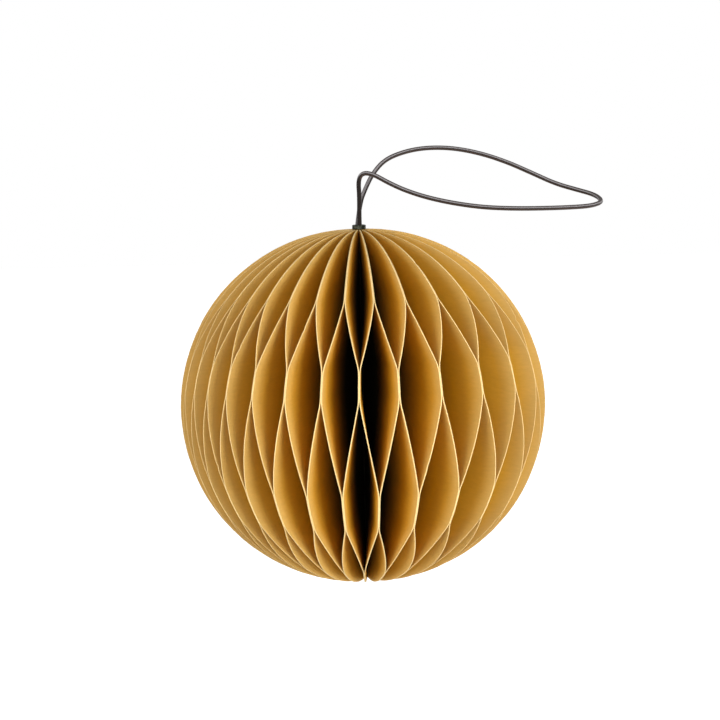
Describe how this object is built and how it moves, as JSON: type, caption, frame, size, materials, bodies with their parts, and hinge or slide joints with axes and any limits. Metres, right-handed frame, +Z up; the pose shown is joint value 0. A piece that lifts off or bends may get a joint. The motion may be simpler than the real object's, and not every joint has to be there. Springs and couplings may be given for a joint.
{
  "type": "honeycomb paper ball ornament",
  "caption": "Round hanging ornament of folded paper leaves that open into honeycomb cells, with a thin leather loop held by a small metal collar at the top.",
  "frame": {"origin": "centre of the ball, on the spine and half way between its two poles", "axes": "+Z up along the spine to the pole where the loop leaves, -Y the front, +X the side that the loop falls towards"},
  "size_m": [0.0933, 0.08, 0.0948],
  "materials": {
    "paper": "uncoated ochre-gold paper, solid dyed, with pale cut edges",
    "collar_metal": "blackened metal, slightly shiny",
    "leather": "dark brown round leather cord, smooth with a soft sheen"
  },
  "bodies": {
    "root": {"paper_honeycomb": "paper", "cord_collar": "collar_metal", "hanging_cord": "leather"}
  },
  "joints": []
}
